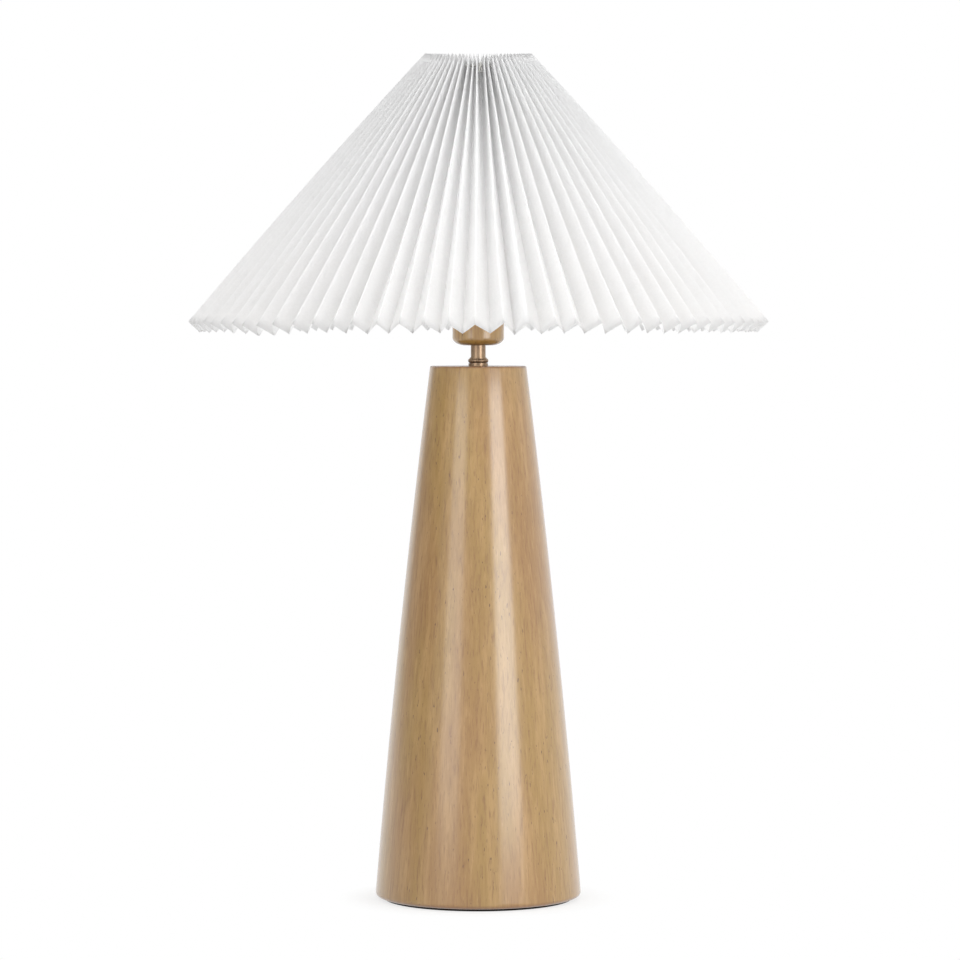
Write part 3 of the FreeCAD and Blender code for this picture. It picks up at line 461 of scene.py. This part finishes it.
# ---- Wooden cup ----------------------------------------------------------------------------------
# A small cup turned from the same wood. It stands on the neck, hides the lower half of the lamp
# holder, and is clamped by it.
low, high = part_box("wood_cup")
CUP_LOW, CUP_HIGH, CUP_R = low.z, high.z, high.x
CUP_ROUND_OUT, CUP_ROUND_UP = 0.0105, 0.0062       # the lower edge is rounded further in than up
CUP_RIM, CUP_WALL, CUP_FLOOR = 0.0010, 0.0032, 0.006
CUP_LIP = 0.0006            # the flat of the rim's inner edge
quarter = arc(0, 0, 1, -90, 0, 16)
under = [(CUP_R + CUP_ROUND_OUT * (r - 1), CUP_LOW + CUP_ROUND_UP * (z + 1)) for r, z in quarter]
outer_rim = arc(CUP_R - CUP_RIM, CUP_HIGH - CUP_RIM, CUP_RIM, 0, 90, 4)
inner = CUP_R - CUP_WALL
wooden_cup = turned("wooden_cup", [(ROD_HOLE_R, CUP_LOW)] + under + outer_rim + [
    (inner + CUP_LIP, CUP_HIGH), (inner, CUP_HIGH - CUP_LIP), (inner, CUP_LOW + CUP_FLOOR),
    (ROD_HOLE_R, CUP_LOW + CUP_FLOOR)])
smooth(wooden_cup)
# painted shade: the cup's wood is painted darker this far from its lower and its upper edge
CUP_DARK = 0.002
cup_wood = stained_wood("cup_wood", [(CUP_LOW, CUP_DARK), (CUP_HIGH, CUP_DARK)])
wooden_cup.data.materials.append(cup_wood)
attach(wooden_cup, "stand")
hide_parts("wood_cup")


# ---- Lamp holder ---------------------------------------------------------------------------------
# Two black moulded halves round a rolled brass shell. The lower half stands in the cup, and the upper
# half has a shoulder that carries the shade and a threaded skirt.
moulded = finish("black_plastic", srgb(36, 36, 37), srgb(42, 42, 43), 0.01, 0.30, grain=0.0008, depth=0.00003)
wear(moulded, "holder_cap", "holder_body")
bright = finish("bright_brass", srgb(214, 184, 120), srgb(200, 166, 98), 0.004, 0.20, metal=1.0, grain=0.0004,
                depth=0.00002, stretch=(1, 1, 0.2))
wear(bright, "screw_shell", "centre_contact")


# ---- Turn switch ---------------------------------------------------------------------------------
# A fluted black knob on a brass spindle turns a lobed cam in an off-white block, with a brass
# terminal plate and a steel screw on either side.
pale = finish("pale_plastic", srgb(206, 200, 188), srgb(214, 209, 198), 0.006, 0.42, grain=0.0006,
              depth=0.00003)
wear(pale, "switch_block", "switch_rotor")
wear(bright, "switch_terminals", "switch_spindle", "switch_collar")
wear(zinc, "terminal_screws")
wear(moulded, "switch_knob")


# ---- Terminal block and inner leads --------------------------------------------------------------
# A two-pole block on the cover with brass screws, and two plastic-covered leads, brown and blue,
# that run from it up the threaded tube to the switch.
wear(pale, "terminal_block")
wear(bright, "block_screws")
for name, node, first, second in (("brown_cover", "lead_live", srgb(108, 74, 50), srgb(116, 82, 58)),
                                  ("blue_cover", "lead_neutral", srgb(58, 96, 152), srgb(66, 104, 160))):
    wear(finish(name, first, second, 0.01, 0.38, grain=0.0008, depth=0.00003), node)


# ---- Wire frame of the shade ---------------------------------------------------------------------
# Two rings, six ribs, and three arms to a flat ring, of steel wire welded where they meet. They are
# dipped in white enamel, which is a little thick and uneven.
WIRE_R = 0.0015
BEAD_R = 0.0019             # the weld beads, set in from the paper
BEAD_IN = 0.0008

enamel = finish("white_enamel", srgb(228, 228, 224), srgb(236, 236, 233), 0.02, 0.26, grain=0.003,
                depth=0.00004, fixed={"Coat Weight": 0.5, "Coat Roughness": 0.12})
ribs = ["frame_rib_%d" % i for i in range(1, 7)]
arms = ["carrier_arm_%d" % i for i in range(1, 4)]
wear(enamel, "top_ring", "bottom_ring", "carrier_ring", *ribs, *arms)

rings = []
for name in ("top_ring", "bottom_ring"):
    low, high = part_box(name)
    rings.append((high.x - WIRE_R, (low.z + high.z) / 2))
beads = []
for degrees in range(0, 360, 60):
    for ring_r, ring_z in rings:
        beads.append((ring_r - BEAD_IN, degrees, ring_z))
for degrees in (90, 210, 330):
    beads.append((rings[1][0] - BEAD_IN, degrees, rings[1][1]))
bpy.ops.object.select_all(action="DESELECT")
parts = []
for r, degrees, z in beads:
    a = math.radians(degrees)
    bpy.ops.mesh.primitive_uv_sphere_add(segments=16, ring_count=10, radius=BEAD_R,
                                         location=(r * math.cos(a), r * math.sin(a), z))
    parts.append(bpy.context.object)
for part in parts:
    part.select_set(True)
weld_beads = parts[0]
weld_beads.name = "weld_beads"
bpy.context.view_layer.objects.active = weld_beads
bpy.ops.object.join()
bpy.ops.object.transform_apply(location=True, rotation=True, scale=True)
smooth(weld_beads, 60)
weld_beads.data.materials.append(enamel)
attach(weld_beads, "shade")


# ---- Pleated paper -------------------------------------------------------------------------------
# One strip of stiff white paper, folded into 80 pleats and closed to a cone with a glued lap near the
# front. The lace gathers its top. The folds are a little uneven, and the panels slightly curved.
PLEATS = 80
PANEL = 0.0150              # from a valley fold to the next mountain fold
PAPER_T = 0.0003
THROUGH = 0.84              # how much of the light on the paper goes through it
VALLEY_TOP = (0.02882, 0.66508)     # radius and height of a valley fold's ends
VALLEY_FOOT = (0.22093, 0.45147)
VALLEY_GAP = 0.0002         # at least this much between the valleys' cone and the paper
ROWS, ACROSS = 30, 6        # how many quads a panel is drawn with, down and across
FALL = Vector((VALLEY_FOOT[0] - VALLEY_TOP[0], VALLEY_FOOT[1] - VALLEY_TOP[1]))
DOWN = FALL.normalized()
OUT = Vector((-DOWN.y, DOWN.x))
PAPER_BOW = 0.0012          # how far the sides bow outwards half way down
SEAM_AT = math.radians(6.5)         # angles from the front, anticlockwise from above
SEAM_SLIP = math.radians(0.3)       # how far the lapped end lies from the fold under it
WIDE_FRONT = math.radians(1.6)      # extra angle taken by the wide pleats at the front
WIDE_SIGMA = math.radians(13)
WIDE_AT_TOP = 0.25          # how much of that angle is there at the top already
SAG_AT = math.radians(-46)          # a few pleats that hang low, front left
SAG_SIGMA = math.radians(7)
SAG = 0.0032
LAP_PROUD, LAP_SLIP = 0.0006, 0.0014        # how far the lapped end stands off and hangs down
SLIP, PROUD = 0.0006, 0.0007        # how far a fold may slip down and stand off at random
BULGE, BULGE_UNEVEN = 0.0001, 0.00025       # how far a panel is rounded out
COCKLE, COCKLES = 0.00016, 28       # small waves in a panel: how deep, and how many a metre
TOP_DIP = 0.0075            # how far the top edge is cut lower at the front than at the back
DIP_POWER = 1.2
step = 2 * math.pi / PLEATS
TOP_OFF, FOOT_OFF, WAVE_OFF = 0.16 * step, 0.09 * step, 0.03 * step     # how far a fold may run off its line
KNOT_AT = SEAM_AT - step            # the lace's knot stands in this valley and pushes its panels apart
KNOT_PUSH = 0.26 * step
draw = random.Random(18)


def uneven(share):
    """A random share either way, from a draw that is the same on each run."""
    return share * (2 * draw.random() - 1)


folds = []
for k in range(2 * PLEATS + 2):
    even = SEAM_AT + k * step / 2
    front = math.atan2(math.sin(even), math.cos(even))
    spread = WIDE_FRONT * math.tanh(front / WIDE_SIGMA) * (1 - abs(front) / math.pi) ** 2
    folds.append({
        "mountain": k % 2 == 1, "angle": even, "spread": spread, "top": uneven(TOP_OFF),
        "foot": uneven(FOOT_OFF), "wave": uneven(WAVE_OFF), "phase": draw.random(),
        "slip": uneven(SLIP) + SAG * math.exp(-((front - SAG_AT) / SAG_SIGMA) ** 2),
        "proud": uneven(PROUD), "bulge": uneven(BULGE_UNEVEN) + BULGE})
for early, late in ((0, 2 * PLEATS), (1, 2 * PLEATS + 1)):
    lap = dict(folds[early])
    lap["angle"] += 2 * math.pi - SEAM_SLIP
    lap["proud"] += LAP_PROUD
    lap["slip"] += LAP_SLIP
    folds[late] = lap
for fold in folds:
    off = math.remainder(fold["angle"] - KNOT_AT, 2 * math.pi) / step
    fold["top"] += KNOT_PUSH * 2 * off * math.exp(0.5 - 2 * off * off)


def fold_angle(k, share):
    """A fold's angle from the front, before it runs off its line. Wide pleats are wide at the foot."""
    return folds[k]["angle"] + folds[k]["spread"] * (WIDE_AT_TOP + (1 - WIDE_AT_TOP) * share)


def fold_place(k, share):
    """Where a fold runs: its angle from the front, and its height over the valleys' cone, which is such
    that each panel keeps its width."""
    fold = folds[k]
    angle = fold_angle(k, share) + fold["top"] * (1 - share) ** 3 + fold["foot"] * share
    angle += fold["wave"] * math.sin(2 * math.pi * (share + fold["phase"]))
    r = VALLEY_TOP[0] + FALL.x * share
    over = PAPER_T / 2 + VALLEY_GAP + 0.5 * abs(fold["proud"])
    if fold["mountain"]:
        before, after = fold_angle(max(k - 1, 0), share), fold_angle(min(k + 1, len(folds) - 1), share)
        half = (r + 0.5 * PANEL * OUT.x) * (after - before) / 2
        over = math.sqrt(PANEL ** 2 - half ** 2) + fold["proud"] * share
    return angle, over


def paper_point(k, share, across):
    """A point of the strip: between fold k and the next one, at a share of the way down."""
    angle_a, over_a = fold_place(k, share)
    angle_b, over_b = fold_place(k + 1, share)
    slip = folds[k]["slip"] * (1 - across) + folds[k + 1]["slip"] * across
    bow = PAPER_BOW * 4 * share * (1 - share)
    front = (folds[k]["angle"] + folds[k + 1]["angle"]) / 2
    dip = TOP_DIP * (0.5 + 0.5 * math.cos(front)) ** DIP_POWER
    along = dip + (FALL.length - dip) * share + slip * share

    def place(angle, over):
        r = VALLEY_TOP[0] + DOWN.x * along + OUT.x * (over + bow)
        z = VALLEY_TOP[1] + DOWN.y * along + OUT.y * (over + bow)
        return Vector((r * math.sin(angle), -r * math.cos(angle), z))

    a, b = place(angle_a, over_a), place(angle_b, over_b)
    flat = a.lerp(b, across)
    down_side = Vector((DOWN.x * math.sin(angle_a), -DOWN.x * math.cos(angle_a), DOWN.y))
    normal = (b - a).cross(down_side).normalized()
    round_out = folds[k]["bulge"] * math.sin(math.pi * across) * (0.3 + 0.7 * share)
    wavy = COCKLE * math.sin(math.pi * across) * noise.noise(flat * COCKLES + Vector((k * 3.1, 0, 0)))
    return flat - normal * (round_out + wavy)


mesh = bmesh.new()
grid = []
for row in range(ROWS + 1):
    share = row / ROWS
    line = []
    for k in range(2 * PLEATS + 1):
        for i in range(ACROSS):
            line.append(mesh.verts.new(paper_point(k, share, i / ACROSS)))
    line.append(mesh.verts.new(paper_point(2 * PLEATS, share, 1.0)))
    grid.append(line)
for upper, lower in zip(grid, grid[1:]):
    for i in range(len(upper) - 1):
        mesh.faces.new((upper[i], lower[i], lower[i + 1], upper[i + 1]))
data = bpy.data.meshes.new("pleated_paper")
mesh.to_mesh(data)
mesh.free()
pleated_paper = bpy.data.objects.new("pleated_paper", data)
bpy.context.scene.collection.objects.link(pleated_paper)
smooth(pleated_paper, 32)
bpy.context.view_layer.objects.active = pleated_paper
thick = pleated_paper.modifiers.new("thickness", "SOLIDIFY")
thick.thickness = PAPER_T
thick.offset = 0
bpy.ops.object.modifier_apply(modifier="thickness")

shade_paper, m = new_material("shade_paper")
place = m.node("TexCoord", {}, {}, out="Object")
fibres = noise_at(m, place, 0.0022, 6.0, 0.7)
clouds = noise_at(m, place, 0.018, 3.0, 0.5)
pulp = tint(m, between(m, fibres, 0.35, 0.70), srgb(248, 248, 248), srgb(252, 252, 252))
pulp = tint(m, between(m, clouds, 0.45, 0.70) * 0.5, pulp, srgb(250, 250, 250))
tooth = relief(m, fibres, 0.00002)
front_paper = m.node("BsdfPrincipled", {}, {
    "Base Color": pulp, "Roughness": 0.85, "Specular IOR Level": 0.25, "Normal": tooth})
through = m.node("BsdfTranslucent", {}, {"Color": pulp, "Normal": tooth})
show(shade_paper, m.node("MixShader", {}, {0: THROUGH, 1: front_paper, 2: through}))
pleated_paper.data.materials.append(shade_paper)
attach(pleated_paper, "shade")
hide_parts("pleated_sheet")


# ---- Gathering lace ------------------------------------------------------------------------------
# A thin twisted cotton cord, threaded through a hole in every panel near the top of the sheet. It is
# drawn tight and tied in a small knot with two short ends in a valley near the front.
low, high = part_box("gathering_lace")
LACE_Z, LACE_THICK = (low.z + high.z) / 2, high.z - low.z
LACE_RING_R = high.x - LACE_THICK / 2
STRANDS = 260               # how often the two strands cross on the way round
lace_cotton, m = new_material("lace_cotton")
place = m.node("TexCoord", {}, {}, out="Object")
x, y, z = (m.node("SeparateXYZ", {}, {"Vector": place}, out=axis) for axis in "XYZ")
out = m.math("SQRT", x * x + y * y) - LACE_RING_R
round_cord = m.math("ARCTAN2", z - LACE_Z, out)
twist = m.math("SINE", m.math("ARCTAN2", y, x) * STRANDS + 2 * round_cord) * 0.5 + 0.5
fuzz = noise_at(m, place, 0.0004, 2.0, 0.6)
# painted shade: the grooves between the two strands are painted darker than the strands' crowns
cotton = tint(m, twist, srgb(206, 204, 198), srgb(240, 239, 235))
show(lace_cotton, m.node("BsdfPrincipled", {}, {
    "Base Color": cotton, "Roughness": 0.85 + 0.1 * fuzz, "Specular IOR Level": 0.2,
    "Normal": relief(m, twist + 0.3 * fuzz, 0.0002)}))
wear(lace_cotton, "gathering_lace")

KNOT_R = LACE_RING_R + 0.0030
KNOT_UP = 0.0012
KNOT_SIZE = 0.0016
KNOT_SHAPE = (0.85, 1.0, 1.25)
END_R, END_LENGTH = 0.0006, 0.0075
END_APART, END_FORWARD, END_HANGS = 0.0007, 0.0015, 0.35 * END_LENGTH
END_LEANS, END_SPLAYS = math.radians(38), math.radians(9)
knot_place = Vector((KNOT_R * math.sin(KNOT_AT), -KNOT_R * math.cos(KNOT_AT), LACE_Z + KNOT_UP))
bpy.ops.object.select_all(action="DESELECT")
bpy.ops.mesh.primitive_uv_sphere_add(segments=20, ring_count=12, radius=KNOT_SIZE, location=knot_place)
lace_knot = bpy.context.object
lace_knot.name = "lace_knot"
lace_knot.scale = KNOT_SHAPE
parts = [lace_knot]
for side in (-1, 1):
    end_place = knot_place + Vector((side * END_APART, -END_FORWARD, -END_HANGS))
    bpy.ops.mesh.primitive_cylinder_add(vertices=12, radius=END_R, depth=END_LENGTH, location=end_place,
                                        rotation=(-END_LEANS, -END_SPLAYS * side, 0))
    parts.append(bpy.context.object)
for part in parts:
    part.select_set(True)
bpy.context.view_layer.objects.active = lace_knot
bpy.ops.object.join()
bpy.ops.object.transform_apply(location=True, rotation=True, scale=True)
smooth(lace_knot, 40)
lace_knot.data.materials.append(lace_cotton)
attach(lace_knot, "shade")


# ---- Shade clamp ---------------------------------------------------------------------------------
# A fluted black ring screws down the holder's skirt, and a zinc slip washer under it presses the
# frame's flat ring on the shoulder.
wear(moulded, "clamp_ring")
wear(zinc, "slip_washer")


# ---- Bulb ----------------------------------------------------------------------------------------
# A frosted opal glass bulb cemented in a rolled aluminium screw cap, with a black glass insulator and
# a soldered tip. The opal coating thins out towards the cap.
low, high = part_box("bulb_glass")
OPAL_STARTS, OPAL_FULL = low.z + 0.004, low.z + 0.022
OPAL_UNEVEN = 0.006
opal, m = new_material("opal_glass")
place = m.node("TexCoord", {}, {}, out="Object")
height = m.node("SeparateXYZ", {}, {"Vector": place}, out="Z")
clouds = noise_at(m, place, 0.012, 3.0, 0.5)
coated = between(m, height + OPAL_UNEVEN * clouds, OPAL_STARTS, OPAL_FULL)
milk = tint(m, clouds, srgb(238, 238, 234), srgb(244, 244, 241))
milk = tint(m, coated, srgb(196, 196, 192), milk)
show(opal, m.node("BsdfPrincipled", {}, {
    "Base Color": milk, "Roughness": 0.26 + 0.08 * clouds, "Coat Weight": 0.6, "Coat Roughness": 0.08,
    "Normal": relief(m, clouds, 0.00002)}))
wear(opal, "bulb_glass")
cap_metal = finish("rolled_aluminium", srgb(202, 203, 205), srgb(186, 188, 191), 0.005, 0.24, metal=1.0,
                   grain=0.0005, depth=0.00003, stretch=(8, 8, 0.3))
wear(cap_metal, "bulb_cap")
black_glass = finish("black_glass", srgb(22, 22, 26), srgb(28, 28, 31), 0.004, 0.10, grain=0.002,
                     depth=0.00002)
wear(black_glass, "bulb_insulator")
solder = finish("solder", srgb(168, 169, 172), srgb(146, 148, 152), 0.0015, 0.36, metal=1.0, grain=0.0007,
                depth=0.0001)
wear(solder, "bulb_tip")
